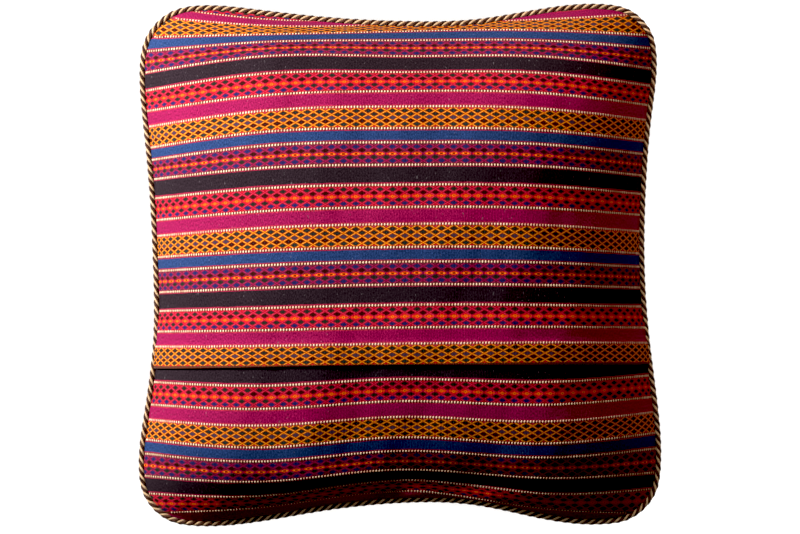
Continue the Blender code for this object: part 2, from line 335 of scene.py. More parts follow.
class Ripples:
    """Smooth seeded unevenness: a sum of plane waves."""

    def __init__(self, seed: int, longest: float, shortest: float, count: int) -> None:
        """Draw the waves' directions, lengths and phases."""
        draw = np.random.RandomState(seed)
        turns = draw.uniform(0.0, 2.0 * math.pi, count)
        waves = 2.0 * math.pi / draw.uniform(shortest, longest, count)
        self.rates = np.stack([np.cos(turns), np.sin(turns)], axis=-1) * waves[:, None]
        self.phases = draw.uniform(0.0, 2.0 * math.pi, count)

    def at(self, x: Array, y: Array) -> Array:
        """Return the unevenness at a place, about -1 to 1."""
        total = sum(np.sin(x * rate[0] + y * rate[1] + phase) for rate, phase in zip(self.rates, self.phases))
        return total / math.sqrt(2.0 * len(self.phases)) * 1.2


@dataclass
class CushionForm:
    """The filled cushion's shape, in grid coordinates s (along the stripes) and t, each from -1 to 1."""

    seam_height: float = 68.0
    back_crown: float = 82.0
    front_press: float = 1.2
    front_roundness: float = 1.5
    crown_spread: float = 3.0
    crown_steepness: float = 0.74
    cord_radius: float = 2.9
    cord_seat: float = 0.55
    half_side: float = 216.0
    side_hold: int = 5
    hem_y: float = -88.0
    hem_bow: float = 4.6
    hem_rise: float = 0.008
    pucker: float = 0.55
    pucker_fade: float = 15.0
    lump: float = 0.7
    wave: float = 0.22
    arc_steps: int = 4
    slope_step: float = 1e-4
    halvings: int = 40
    spline: ClosedSpline = field(init=False)
    corner_places: list[float] = field(init=False)

    def __post_init__(self) -> None:
        """Lay out the outline and draw the unevenness."""
        self.spline, self.corner_places = self._outline()
        self.seam_inset = 2.0 * self.cord_radius + self.cord_seat
        self.lumps = Ripples(seed=11, longest=120.0, shortest=55.0, count=9)
        self.waves = Ripples(seed=12, longest=34.0, shortest=18.0, count=14)
        self.puckers = Ripples(seed=13, longest=17.0, shortest=8.0, count=9)
        self.gathers = Ripples(seed=14, longest=90.0, shortest=40.0, count=5)

    def _outline(self) -> tuple[ClosedSpline, list[float]]:
        """Return the cord's outer line, centred on its box, and the places of its four corners along it."""
        arcs = [self._arc(CORNERS[side.first]) for side in SIDES]
        points: list[Array] = []
        middles = []
        for i, side in enumerate(SIDES):
            middles.append(len(points) + self.arc_steps // 2)
            points += arcs[i]
            start, end = arcs[i][-1], arcs[(i + 1) % len(arcs)][0]
            along = end - start
            inward = np.array((-along[1], along[0])) / np.hypot(*along)
            drawn = zip(SIDE_PLACES, side.draw_in)
            points += [start + along * place + inward * depth for place, depth in drawn]
        ring = np.array(points)
        spline = ClosedSpline(ring)
        line, _ = spline.at(np.linspace(0.0, spline.knots[-1], OUTLINE_SAMPLES))
        spline = ClosedSpline(ring - (line.min(axis=0) + line.max(axis=0)) / 2.0)
        places = [float(spline.knots[i]) for i in middles]
        return spline, places + [places[0] + float(spline.knots[-1])]

    def _arc(self, corner: Corner) -> list[Array]:
        """Return the points of one corner's arc, counter-clockwise."""
        side = np.array((math.copysign(1.0, corner.x), math.copysign(1.0, corner.y)))
        centre = np.array((corner.x, corner.y)) - side * corner.radius
        middle = math.atan2(side[1], side[0])
        steps = range(self.arc_steps + 1)
        angles = [middle + math.pi / 2.0 * (step / self.arc_steps - 0.5) for step in steps]
        return [centre + corner.radius * np.array((math.cos(angle), math.sin(angle))) for angle in angles]

    def edge_point(self, side: int, along: Array) -> Array:
        """Return points of the seam on one side, 0 to 3 counter-clockwise from the bottom."""
        start, end = self.corner_places[side], self.corner_places[side + 1]
        place, outward = self.spline.at(start + (end - start) * along)
        return place - outward * self.seam_inset

    def plan(self, s: Array, t: Array) -> Array:
        """Return the place on the plane of the grid coordinates s and t."""
        s, t = np.broadcast_arrays(np.asarray(s, float), np.asarray(t, float))
        u, v = (1.0 + s) / 2.0, (1.0 + t) / 2.0
        corners = [self.edge_point(i, np.zeros(1))[0] for i in range(4)]

        def square(a: Array, b: Array) -> Array:
            """Return the straight-sided blend of the four corners."""
            low = corners[0] * (1 - a[..., None]) + corners[1] * a[..., None]
            high = corners[3] * (1 - a[..., None]) + corners[2] * a[..., None]
            return low * (1 - b[..., None]) + high * b[..., None]

        zero, one = np.zeros_like(u), np.ones_like(u)
        place = square(u, v)
        place = place + ((1 - v) ** self.side_hold)[..., None] * (self.edge_point(0, u) - square(u, zero))
        place = place + (v**self.side_hold)[..., None] * (self.edge_point(2, 1 - u) - square(u, one))
        place = place + (u**self.side_hold)[..., None] * (self.edge_point(1, v) - square(one, v))
        return place + ((1 - u) ** self.side_hold)[..., None] * (self.edge_point(3, 1 - v) - square(zero, v))

    def crown(self, s: Array, t: Array) -> Array:
        """Return the share of the crown's full height: 1 in the middle, 0 at the seam."""
        across = np.clip(1.0 - np.abs(s) ** self.crown_spread, 0.0, 1.0)
        along = np.clip(1.0 - np.abs(t) ** self.crown_spread, 0.0, 1.0)
        return (across * along) ** self.crown_steepness

    def relief(self, s: Array, t: Array, place: Array) -> Array:
        """Return the fine unevenness: puckers along the seam, small waves and soft lumps of the filling."""
        x, y = place[..., 0], place[..., 1]
        from_seam = self.half_side * (1.0 - np.maximum(np.abs(s), np.abs(t)))
        on_side = smooth_step(-0.12, 0.12, np.abs(s) - np.abs(t))
        along = y * on_side + x * (1.0 - on_side)
        gather = 0.6 + 0.55 * self.gathers.at(x, y)
        pucker = self.puckers.at(along, 0.15 * from_seam + 40.0 * on_side) * gather
        near = np.exp(-from_seam / self.pucker_fade) * smooth_step(0.0, 4.0, from_seam)
        inner = smooth_step(0.0, 30.0, from_seam)
        return (
            self.pucker * pucker * near
            + self.lump * self.lumps.at(x, y) * inner
            + self.wave * self.waves.at(x, y) * smooth_step(2.0, 20.0, from_seam)
        )

    def surface(self, face: Face, s: Array, t: Array) -> Array:
        """Return points of the filling's surface on one face."""
        s, t = np.broadcast_arrays(np.asarray(s, float), np.asarray(t, float))
        place = self.plan(s, t)
        share = self.crown(s, t)
        if face is Face.FRONT:
            pressed = np.clip(self.front_press * share, 0.0, 1.0)
            height = self.seam_height * (1.0 - pressed) ** self.front_roundness
            height = height - self.relief(s, t, place) * smooth_step(0.0, 30.0, height)
            return np.concatenate([place, height[..., None]], axis=-1)
        rise = np.zeros_like(share)
        for swell in SWELLS:
            x = (place[..., 0] - swell.x) / swell.reach_x
            y = (place[..., 1] - swell.y) / swell.reach_y
            rise += swell.rise * np.exp(-(x * x + y * y)) * smooth_step(0.0, 1.0, swell.fade * share)
        height = self.seam_height + self.back_crown * share + rise
        height = height + self.relief(s, t, place)
        return np.concatenate([place, height[..., None]], axis=-1)

    def outward(self, face: Face, s: Array, t: Array) -> Array:
        """Return the unit normals that point out of the cushion."""
        step = self.slope_step
        run_s = self.surface(face, s + step, t) - self.surface(face, s - step, t)
        run_t = self.surface(face, s, t + step) - self.surface(face, s, t - step)
        normal = np.cross(run_s, run_t)
        normal /= np.maximum(np.linalg.norm(normal, axis=-1, keepdims=True), 1e-12)
        return -normal if face is Face.FRONT else normal

    def lifted(self, face: Face, s: Array, t: Array, lift: Array) -> Array:
        """Return points of the surface moved out by lift millimetres."""
        return self.surface(face, s, t) + self.outward(face, s, t) * np.asarray(lift)[..., None]

    def hem(self, s: Array) -> Array:
        """Return the t at which each s meets the line of the flap's hem."""
        low, high = np.full_like(s, -0.8), np.full_like(s, 0.0)
        for _ in range(self.halvings):
            middle = (low + high) / 2.0
            place = self.plan(s, middle)
            bow = self.hem_bow * (1.0 - (place[..., 0] / self.half_side) ** 2)
            above = place[..., 1] > self.hem_y + bow + self.hem_rise * place[..., 0]
            high = np.where(above, middle, high)
            low = np.where(above, low, middle)
        return (low + high) / 2.0

    def cord_line(self, count: int) -> tuple[Array, Array]:
        """Return the cord's centreline and its outward directions at count even places."""
        turn = self.corner_places[-1] - self.corner_places[0]
        place, outward = self.spline.at(np.arange(count) * turn / count)
        heights = np.full((count, 1), self.seam_height)
        line = np.concatenate([place - outward * self.cord_radius, heights], axis=-1)
        return line, np.concatenate([outward, np.zeros((count, 1))], axis=-1)


@dataclass(frozen=True)
class Repeat:
    """The stripes of one repeat, upward from the yellow one's lower edge, and the small lattice in three.

    Attributes:
        widths: width of the yellow, magenta, red, charcoal, purple and blue stripes.
        lattice_width: width of one lattice cell along the stripes.
        lattice_height: height of one lattice cell.
        stitch_pitch: distance from one float stitch to the next.
    """

    widths: tuple[float, ...] = (20.1, 14.9, 19.8, 17.8, 19.9, 12.9)
    lattice_width: float = 10.36
    lattice_height: float = 6.2
    stitch_pitch: float = 2.59

    @property
    def height(self) -> float:
        """Return the height of the whole repeat."""
        return sum(self.widths)

    def edges(self, low: float, high: float) -> list[float]:
        """Return the edges between stripes from low to high along the cloth."""
        starts = np.cumsum((0.0,) + self.widths[:-1])
        turns = range(math.floor(low / self.height), math.ceil(high / self.height) + 1)
        places = [start + turn * self.height for turn in turns for start in starts]
        return [float(place) for place in places if low < place < high]


class ClothMap:
    """The cloth's own coordinates over one face: u along the stripes and v across them, in millimetres."""

    def __init__(self, form: CushionForm, face: Face, across: Callable[[Array], Array]) -> None:
        """Sample the coordinates on an even grid.

        Args:
            form: the cushion's shape.
            face: the face that the cloth covers.
            across: gives v for an array of surface points.
        """
        self.form = form
        self.face = face
        self.even = np.linspace(-1.0, 1.0, GRID_CELLS + 1)
        s, t = np.meshgrid(self.even, self.even)
        points = form.surface(face, s, t)
        steps = np.linalg.norm(np.diff(points, axis=1), axis=-1)
        length = np.concatenate([np.zeros((GRID_CELLS + 1, 1)), np.cumsum(steps, axis=1)], axis=1)
        zero = [np.interp(ZERO_COLUMN, row[:, 0], along) for row, along in zip(points, length)]
        self.u = length - np.array(zero)[:, None]
        self.v = across(points)

    def at(self, s: Array, t: Array) -> tuple[Array, Array]:
        """Return u and v at these grid coordinates."""
        last = len(self.even) - 2
        across = (np.asarray(s) + 1.0) / 2.0 * (last + 1)
        along = (np.asarray(t) + 1.0) / 2.0 * (last + 1)
        i = np.clip(np.floor(across).astype(int), 0, last)
        j = np.clip(np.floor(along).astype(int), 0, last)
        a, b = across - i, along - j

        def blend(values: Array) -> Array:
            """Return the bilinear blend of a grid of values."""
            low = values[j, i] * (1 - a) + values[j, i + 1] * a
            high = values[j + 1, i] * (1 - a) + values[j + 1, i + 1] * a
            return low * (1 - b) + high * b

        return blend(self.u), blend(self.v)

    def line(self, place: float, pitch: float, low: Array, high: Array) -> tuple[Array, Array]:
        """Return s and t at every pitch along the line v = place, where t lies between low and high."""
        column_t = np.array([np.interp(place, column, self.even, np.nan, np.nan) for column in self.v.T])
        known = ~np.isnan(column_t)
        if known.sum() < 2:
            return np.zeros(0), np.zeros(0)
        s, t = self.even[known], column_t[known]
        u, _ = self.at(s, t)
        marks = (np.arange(math.ceil(u[0] / pitch), math.floor(u[-1] / pitch) + 1) + 0.5) * pitch
        s, t = np.interp(marks, u, s), np.interp(marks, u, t)
        inside = (t > np.interp(s, self.even, low)) & (t < np.interp(s, self.even, high))
        inside &= np.abs(s) < SEAM_LIMIT
        return s[inside], t[inside]


def through_stations(values: Array, at: Array) -> Array:
    """Return the natural cubic curves through values at STATIONS, one row each, at these places."""
    knots = np.array(STATIONS)
    steps = np.diff(knots)
    rises = np.diff(values, axis=1) / steps
    count = len(knots)
    system = np.eye(count)
    target = np.zeros((count, len(values)))
    for i in range(1, count - 1):
        system[i, i - 1 : i + 2] = (steps[i - 1], 2.0 * (steps[i - 1] + steps[i]), steps[i])
        target[i] = 6.0 * (rises[:, i] - rises[:, i - 1])
    bends = np.linalg.solve(system, target).T
    held = np.clip(at, knots[0], knots[-1])
    span = np.clip(np.searchsorted(knots, held, side="right") - 1, 0, count - 2)
    step = steps[span]
    right, left = held - knots[span], knots[span + 1] - held
    low = values[:, span] / step - bends[:, span] * step / 6.0
    high = values[:, span + 1] / step - bends[:, span + 1] * step / 6.0
    cubic = (bends[:, span] * left**3 + bends[:, span + 1] * right**3) / (6.0 * step)
    slope = (bends[:, span + 1] * right**2 - bends[:, span] * left**2) / (2.0 * step) - low + high
    return cubic + low * left + high * right + slope * (at - held)


def across_by_lines(lines: tuple[StripeLine, ...], form: CushionForm) -> Callable[[Array], Array]:
    """Return a function that reads v from the stripe lines, as seen from VIEW_HEIGHT above the seam.

    Args:
        lines: stripe lines from the bottom up.
        form: the cushion's shape.

    Returns:
        A function from surface points to v.
    """
    table = np.array([line.heights for line in lines])
    places = np.array([line.place for line in lines])

    def across(points: Array) -> Array:
        """Return v at these surface points."""
        near = VIEW_HEIGHT / (VIEW_HEIGHT - (points[..., 2] - form.seam_height))
        x, y = (points[..., 0] * near).ravel(), (points[..., 1] * near).ravel()
        heights = through_stations(table, x).T
        steps = np.diff(heights, axis=1)
        rises = np.diff(places) / steps
        slopes = np.zeros_like(heights)
        slopes[:, 1:-1] = 2.0 * rises[:, 1:] * rises[:, :-1] / (rises[:, 1:] + rises[:, :-1])
        slopes[:, 0], slopes[:, -1] = rises[:, 0], rises[:, -1]
        which = np.arange(len(y))
        span = np.clip((y[:, None] > heights).sum(axis=1) - 1, 0, len(places) - 2)
        step = steps[which, span]
        share = (y - heights[which, span]) / step
        held = np.clip(share, 0.0, 1.0)
        value = (
            places[span] * (1 + 2 * held) * (1 - held) ** 2
            + step * slopes[which, span] * held * (1 - held) ** 2
            + places[span + 1] * held**2 * (3 - 2 * held)
            + step * slopes[which, span + 1] * held**2 * (held - 1)
        )
        beyond = (share - held) * step
        value += beyond * np.where(beyond < 0, slopes[:, 0], slopes[:, -1])
        return value.reshape(points.shape[:-1])

    return across


def across_by_length(points: Array) -> Array:
    """Return v as the length over the surface from the middle row of the grid."""
    steps = np.linalg.norm(np.diff(points, axis=0), axis=-1)
    length = np.concatenate([np.zeros((1, points.shape[1])), np.cumsum(steps, axis=0)])
    return length - length[len(length) // 2]


class Solid:
    """Builds closed meshes between two surfaces of one grid."""

    @staticmethod
    def rim(rows: int, columns: int) -> list[tuple[int, int]]:
        """Return the (row, column) of a grid's edge points, counter-clockwise from the bottom left."""
        bottom = [(0, column) for column in range(columns - 1)]
        right = [(row, columns - 1) for row in range(rows - 1)]
        top = [(rows - 1, column) for column in range(columns - 1, 0, -1)]
        return bottom + right + top + [(row, 0) for row in range(rows - 1, 0, -1)]

    @classmethod
    def between(
        cls,
        name: str,
        upper: Array,
        lower: Array,
        maps: tuple[Array, Array],
        bulges: Array | None = None,
        rings: int = 5,
    ) -> Thing:
        """Make the closed solid between two surfaces, with a rounded edge.

        Args:
            name: name of the object.
            upper: upper points, rows x columns x 3, in millimetres.
            lower: lower points, of the same shape.
            maps: cloth coordinates of the upper and of the lower points, rows x columns x 2.
            bulges: a vector for each rim point by which the edge stands out, or None where they meet.
            rings: rings of points round the edge.

        Returns:
            The new object, in metres.
        """
        rows, columns = upper.shape[:2]
        count = rows * columns
        edge = np.array(cls.rim(rows, columns))
        points = [upper.reshape(-1, 3), lower.reshape(-1, 3)]
        coordinates = [maps[0].reshape(-1, 2), maps[1].reshape(-1, 2)]
        index = np.arange(count).reshape(rows, columns)
        corners = (index[:-1, :-1], index[:-1, 1:], index[1:, 1:], index[1:, :-1])
        cells = np.stack(corners, axis=-1).reshape(-1, 4)
        faces = [cells, cells[:, ::-1] + count]
        top_ring = index[edge[:, 0], edge[:, 1]]
        levels = [top_ring + count]
        if bulges is not None:
            high, low = upper[edge[:, 0], edge[:, 1]], lower[edge[:, 0], edge[:, 1]]
            flat_high, flat_low = maps[0][edge[:, 0], edge[:, 1]], maps[1][edge[:, 0], edge[:, 1]]
            for ring in range(1, rings + 1):
                angle = math.pi * (ring / (rings + 1) - 0.5)
                level = (high + low) / 2 + (high - low) / 2 * math.sin(angle) + bulges * math.cos(angle)
                share = 0.5 + 0.5 * math.sin(angle)
                points.append(level)
                coordinates.append(flat_high * share + flat_low * (1 - share))
                levels.append(np.arange(len(edge)) + 2 * count + (ring - 1) * len(edge))
            levels.append(top_ring)
            for under, over in zip(levels, levels[1:]):
                faces.append(np.stack([under, np.roll(under, -1), np.roll(over, -1), over], axis=-1))
        vertices = np.concatenate(points) * MM
        polygons = np.concatenate(faces)
        if bulges is None:
            lower_rim = dict(zip((top_ring + count).tolist(), top_ring.tolist()))
            polygons = np.vectorize(lambda i: lower_rim.get(i, i))(polygons)
        return cls.object_from(name, vertices, polygons, np.concatenate(coordinates) * MM)

    @staticmethod
    def object_from(name: str, vertices: Array, polygons: Array, coordinates: Array) -> Thing:
        """Make an object from arrays, with the cloth's coordinates as its own UV map, in metres."""
        used, renumbered = np.unique(polygons, return_inverse=True)
        polygons = renumbered.reshape(polygons.shape)
        data = bpy.data.meshes.new(name)
        data.from_pydata(vertices[used].tolist(), [], polygons.tolist())
        layer = data.uv_layers.new(name=CLOTH_UV)
        layer.data.foreach_set("uv", coordinates[used][polygons.ravel()].ravel())
        data.shade_smooth()
        data.update()
        return placed(name, data)


@dataclass(frozen=True)
class CottonFloat:
    """Undyed mercerised cotton, laid as short floats: pale, with a soft lustre, and duller in places."""

    name: str = "undyed_cotton_float"
    roughness: float = 0.7
    sheen: float = 0.05
    fibre_scale: float = 160.0
    dull: str = "#dca68a"

    def build(self) -> Material:
        """Return the material: cream that varies a little from stitch to stitch."""
        material, tree, shader = new_material(self.name, self.roughness, self.sheen)
        place = add(tree, "ShaderNodeTexCoord", out="Object")
        noise = add(tree, NOISE, {"Vector": place, "Scale": self.fibre_scale, "Detail": 1.0})
        colour = ramp(tree, noise, ((0.36, self.dull), (0.56, Yarn.CREAM)), "LINEAR")
        tree.links.new(colour, shader.inputs["Base Color"])
        return material


@dataclass(frozen=True)
class CordYarn:
    """Twisted cotton cord yarn: fine plies that run round each strand, with painted shade in their grooves,
    give it a ropy, slightly shiny look.
    """

    name: str
    colour: Yarn
    dark: str
    roughness: float = 0.62
    sheen: float = 0.2
    ply_pitch: float = 1.5
    plies: int = 3
    # Painted shade: how much darker the grooves between the plies are coloured.
    ply_groove_shade: float = 0.16
    fibre_scale: float = 420.0
    relief: float = 0.4

    def build(self) -> Material:
        """Return the material, whose plies follow the strand's along and around attributes."""
        material, tree, shader = new_material(self.name, self.roughness, self.sheen)
        along = add(tree, "ShaderNodeAttribute", attribute_name="along", out="Fac")
        around = add(tree, "ShaderNodeAttribute", attribute_name="around", out="Fac")
        turns = add(tree, MATH, (around, float(self.plies)), operation="MULTIPLY")
        rate = 1.0 / (self.ply_pitch * MM)
        phase = add(tree, MATH, (along, rate, turns), operation="MULTIPLY_ADD")
        angle = add(tree, MATH, (phase, 2.0 * math.pi), operation="MULTIPLY")
        ply = add(tree, MATH, (angle,), operation="SINE")
        place = add(tree, "ShaderNodeTexCoord", out="Object")
        noise = add(tree, NOISE, {"Vector": place, "Scale": self.fibre_scale, "Detail": 2.0})
        # Painted shade: the ply term darkens the colour where its bump is low, in the grooves between plies.
        # The noise adds the fibres' own uneven tone.
        mixed = add(tree, MATH, (ply, self.ply_groove_shade, noise), operation="MULTIPLY_ADD")
        colour = ramp(tree, mixed, ((0.3, self.dark), (0.68, self.colour)), "LINEAR")
        tree.links.new(colour, shader.inputs["Base Color"])
        depth = self.relief * MM
        bump = add(tree, "ShaderNodeBump", {"Height": mixed, "Strength": 0.6, "Distance": depth})
        tree.links.new(bump, shader.inputs["Normal"])
        return material


def new_material(name: str, roughness: float, sheen: float) -> tuple:
    """Make a matt fabric material.

    Args:
        name: its name.
        roughness: roughness of the fibres.
        sheen: weight of the sheen at grazing angles.

    Returns:
        The material, its node tree and its shader node.
    """
    material = bpy.data.materials.new(name)
    material.use_nodes = True
    tree = material.node_tree
    shader = tree.nodes["Principled BSDF"]
    shader.inputs["Roughness"].default_value = roughness
    shader.inputs["IOR"].default_value = 1.5
    shader.inputs["Specular IOR Level"].default_value = 0.06
    shader.inputs["Sheen Weight"].default_value = sheen
    shader.inputs["Sheen Roughness"].default_value = 0.35
    return material, tree, shader


def ramp(tree: Tree, factor: object, stops: tuple, blend: str = "CONSTANT") -> Socket:
    """Add a colour ramp with these (position, hex colour) stops.

    Args:
        tree: the shader tree.
        factor: the output socket that it reads.
        stops: positions and colours, in order.
        blend: how the colours run between the stops.

    Returns:
        The ramp's colour output.
    """
    colour = add(tree, "ShaderNodeValToRGB", {"Fac": factor})
    band = colour.node.color_ramp
    band.interpolation = blend
    while len(band.elements) < len(stops):
        band.elements.new(1.0)
    for element, (position, code) in zip(band.elements, stops):
        element.position = position
        element.color = linear(code)
    return colour


@dataclass(frozen=True)
class Brocade:
    """The colours of one stripe with a lattice.

    Attributes:
        rows: the seven rows of cells, from the bottom.
        ground: the floats round a cell.
        line: the floats along the lattice's lines.
        crossing: how much darker the lines' crossings are, as a grey or tinted hex colour.
        speck: the fleck in the heart of a cell.
        motif: rings of the middle diamonds, as ramp stops from their heart out, or nothing.
    """

    rows: tuple[Yarn, ...]
    ground: Yarn
    line: Yarn
    crossing: str
    speck: Yarn
    motif: tuple = ()


BROCADES = (
    Brocade(
        rows=(
            Yarn.SCARLET,
            Yarn.TEAL,
            Yarn.MAROON,
            Yarn.SLATE,
            Yarn.GREEN_BLACK,
            Yarn.GREEN_BLACK,
            Yarn.CRIMSON,
        ),
        ground=Yarn.TAN,
        line=Yarn.YELLOW,
        crossing="#f4d0a8",
        speck=Yarn.SLATE,
    ),
    Brocade(
        rows=(
            Yarn.SCARLET,
            Yarn.NAVY,
            Yarn.GREEN_BLACK,
            Yarn.ORANGE,
            Yarn.MAROON,
            Yarn.GREEN_BLACK,
            Yarn.SCARLET,
        ),
        ground=Yarn.CHERRY,
        line=Yarn.PINK_RED,
        crossing="#f4d0d0",
        speck=Yarn.MAROON,
        motif=((0.0, Yarn.EMBER), (0.25, Yarn.ORANGE), (0.5, Yarn.SCARLET)),
    ),
    Brocade(
        rows=(Yarn.WINE, Yarn.NAVY, Yarn.GREEN_BLACK, Yarn.ORANGE, Yarn.MAROON, Yarn.NAVY, Yarn.WINE),
        ground=Yarn.WINE,
        line=Yarn.MULBERRY,
        crossing="#f0c8d8",
        speck=Yarn.MAROON,
        motif=(
            (0.0, Yarn.TAN),
            (0.25, Yarn.APRICOT),
            (0.375, Yarn.ORANGE),
            (0.5, Yarn.SCARLET),
            (0.6, Yarn.WINE),
        ),
    ),
)


@dataclass(frozen=True)
class KilimWeave:
    """Hand-woven wool kilim: plain heathered stripes, and brocaded ones with a lattice of coloured floats.

    The raised floats catch the light over dark cells, and a fine rib runs across every stripe.

    Attributes:
        name: name of the material.
        repeat: widths of the stripes.
        painted_stitches: True where the float stitches are drawn in the weave, on the face that rests.
        offset: where the cloth's v starts in the repeat.
        roughness: roughness of the wool.
        sheen: weight of the wool's sheen.
        thread: width of one thread along the stripes, which the pattern steps by.
        pick: height of one weft pick, which the pattern steps by.
        gap_half: half the height of the dark row that the stitches sit in.
        line_half: half the height of that row with the crimson lines along it.
        lattice_reach: half the height of the lattice within its stripe.
        inner: how far from a cell's heart its own yarn reaches.
        core: how much of a cell the speck at its heart takes.
        line_share: how much of a cell a line of the lattice takes at each side.
        stitch_half: half the width and half the height of a drawn stitch.
        drift: how far the pattern wanders along and across the stripes.
        slub_stretch: how the slubs are drawn out.
        rib_height: height of the rib, as a share of the relief.
        slub_height: height of the slubs, as such a share.
        relief: depth of the whole relief.
    """

    name: str
    repeat: Repeat
    painted_stitches: bool = False
    offset: float = 0.0
    roughness: float = 0.9
    sheen: float = 0.1
    thread: float = 1.295
    pick: float = 0.775
    gap_half: float = 1.15
    line_half: float = 2.1
    lattice_reach: float = 8.6
    inner: float = 0.3
    core: float = 0.06
    line_share: float = 0.057
    stitch_half: tuple[float, float] = (0.6, 0.95)
    drift: tuple[float, float, float] = (1.4, 1.0, 0.0)
    slub_stretch: tuple[float, float, float] = (1.0, 0.45, 1.0)
    rib_height: float = 0.1
    slub_height: float = 0.22
    relief: float = 0.6

    def build(self) -> Material:
        """Return the material."""
        material, tree, shader = new_material(self.name, self.roughness, self.sheen)
        self.dress(tree, shader)
        return material

    def dress(self, tree: Tree, shader: Node) -> None:
        """Fill the tree: the stripes, the lattice, the heather and the relief."""
        metres = add(tree, "ShaderNodeUVMap", uv_map=CLOTH_UV)
        place = add(tree, VECTOR_MATH, {0: metres, "Scale": 1.0 / MM}, operation="SCALE")
        drift = add(tree, NOISE, {"Vector": place, "Scale": 0.07, "Detail": 2.0}, out="Color")
        drift = add(tree, VECTOR_MATH, (drift, (0.5, 0.5, 0.5)), operation="SUBTRACT")
        drift = add(tree, VECTOR_MATH, (drift, self.drift), operation="MULTIPLY")
        place = add(tree, VECTOR_MATH, (place, drift), operation="ADD")
        along = add(tree, "ShaderNodeSeparateXYZ", (place,))
        across = add(tree, MATH, (along.node.outputs[1], self.offset), operation="ADD")
        phase = add(tree, MATH, (across, self.repeat.height), operation="FLOORED_MODULO")

        base = self.stripes(tree, phase)
        base, heather = self.heather(tree, place, base)
        colour, relief = self.lattice(tree, along, phase, base)
        if self.painted_stitches:
            colour = self.stitches(tree, along, phase, colour)
        fuzz = add(tree, NOISE, {"Vector": place, "Scale": 0.9, "Detail": 3.0})
        shade = ramp(tree, fuzz, ((0.3, "#cccccc"), (0.6, "#ffffff")), "LINEAR")
        colour = add(tree, MIX, {"Factor": 1.0, 6: colour, 7: shade}, **TINT)
        tree.links.new(colour, shader.inputs["Base Color"])

        rib = add(tree, MATH, (along, 2.0 * math.pi / self.thread), operation="MULTIPLY")
        rib = add(tree, MATH, (rib,), operation="SINE")
        height = add(tree, MATH, (rib, self.rib_height, relief), operation="MULTIPLY_ADD")
        height = add(tree, MATH, (heather, self.slub_height, height), operation="MULTIPLY_ADD")
        depth = self.relief * MM
        bump = add(tree, "ShaderNodeBump", {"Height": height, "Strength": 0.7, "Distance": depth})
        tree.links.new(bump, shader.inputs["Normal"])

    def stripes(self, tree: Tree, phase: Socket) -> Socket:
        """Return the stripes' plain colours, with the dark stitch rows and the crimson lines beside them."""
        plain = (Yarn.ORANGE, Yarn.MAGENTA, Yarn.SCARLET, Yarn.CHARCOAL, Yarn.WINE, Yarn.BLUE)
        lines = (Yarn.ORANGE, Yarn.PINK_RED, Yarn.SCARLET, Yarn.CRIMSON, Yarn.MULBERRY, Yarn.CRIMSON)
        total = self.repeat.height
        stops = []
        start = 0.0
        for yarn, line, width in zip(plain, lines, self.repeat.widths):
            gap = Yarn.ROSE_SHADOW if yarn is Yarn.ORANGE else Yarn.SHADOW
            stops += [
                ((start + self.gap_half) / total, line),
                ((start + self.line_half) / total, yarn),
                ((start + width - self.line_half) / total, line),
                ((start + width - self.gap_half) / total, gap),
            ]
            start += width
        stops.insert(0, (0.0, Yarn.SHADOW))
        share = add(tree, MATH, (phase, 1.0 / total), operation="MULTIPLY")
        return ramp(tree, share, tuple(stops))

    def heather(self, tree: Tree, place: Socket, base: Socket) -> tuple[Socket, Socket]:
        """Return the base colour with fine slubs and a little lint on it, and the slubs' height."""
        stretched = add(tree, VECTOR_MATH, (place, self.slub_stretch), operation="MULTIPLY")
        slub = add(tree, NOISE, {"Vector": stretched, "Scale": 1.1, "Detail": 4.0})
        light = ramp(tree, slub, ((0.32, "#a8a8a8"), (0.5, "#dadada"), (0.66, "#ffffff")), "LINEAR")
        base = add(tree, MIX, {"Factor": 1.0, 6: base, 7: light}, **TINT)
        flecks = {"Vector": stretched, "Scale": 0.62, "Detail": 1.0, "W": 3.0}
        speck = add(tree, NOISE, flecks, noise_dimensions="4D")
        lint = ramp(tree, speck, ((0.685, "#000000"), (0.76, "#707070")), "LINEAR")
        base = add(tree, MIX, {"Factor": lint, 6: base, 7: linear(Yarn.LINT)}, **BLEND)
        return base, slub

    def lattice(self, tree: Tree, along: Socket, phase: Socket, base: Socket) -> tuple[Socket, Socket]:
        """Return the colour with the lattice of the three brocaded stripes on it, and its relief."""
        starts = np.cumsum((0.0,) + self.repeat.widths[:-1])
        middles = [float(starts[i] + self.repeat.widths[i] / 2) for i in (0, 2, 4)]
        band = self.lattice_reach
        masks = [add(tree, MATH, (phase, middle, band), operation="COMPARE") for middle in middles]
        local = phase
        for mask, middle in zip(masks, middles):
            local = add(tree, MATH, (mask, -middle, local), operation="MULTIPLY_ADD")
        step_u = add(tree, MATH, (along, self.thread), operation="SNAP")
        step_v = add(tree, MATH, (local, self.pick), operation="SNAP")
        step_u = add(tree, MATH, (step_u, self.thread / 2), operation="ADD")
        step_v = add(tree, MATH, (step_v, self.pick / 2), operation="ADD")
        reach, cross, row, arm = self.cell(tree, step_u, step_v)
        heart = self.cell(tree, along, local)[0]
        on_line = add(tree, MATH, (heart, 0.5 - self.line_share), operation="GREATER_THAN")
        level = add(tree, MATH, (row, 1 / 6, 0.5), operation="MULTIPLY_ADD")
        middle_row = add(tree, MATH, (row, 0.0, 0.4), operation="COMPARE")
        inner = add(tree, MATH, (reach, self.inner), operation="LESS_THAN")
        speck = add(tree, MATH, (heart, self.core), operation="LESS_THAN")
        for mask, brocade in zip(masks, BROCADES):
            stops = tuple((max(0.0, (i - 0.5) / 6), yarn) for i, yarn in enumerate(brocade.rows))
            cell = ramp(tree, level, stops)
            ground = ramp(tree, on_line, ((0.0, brocade.ground), (0.5, brocade.line)))
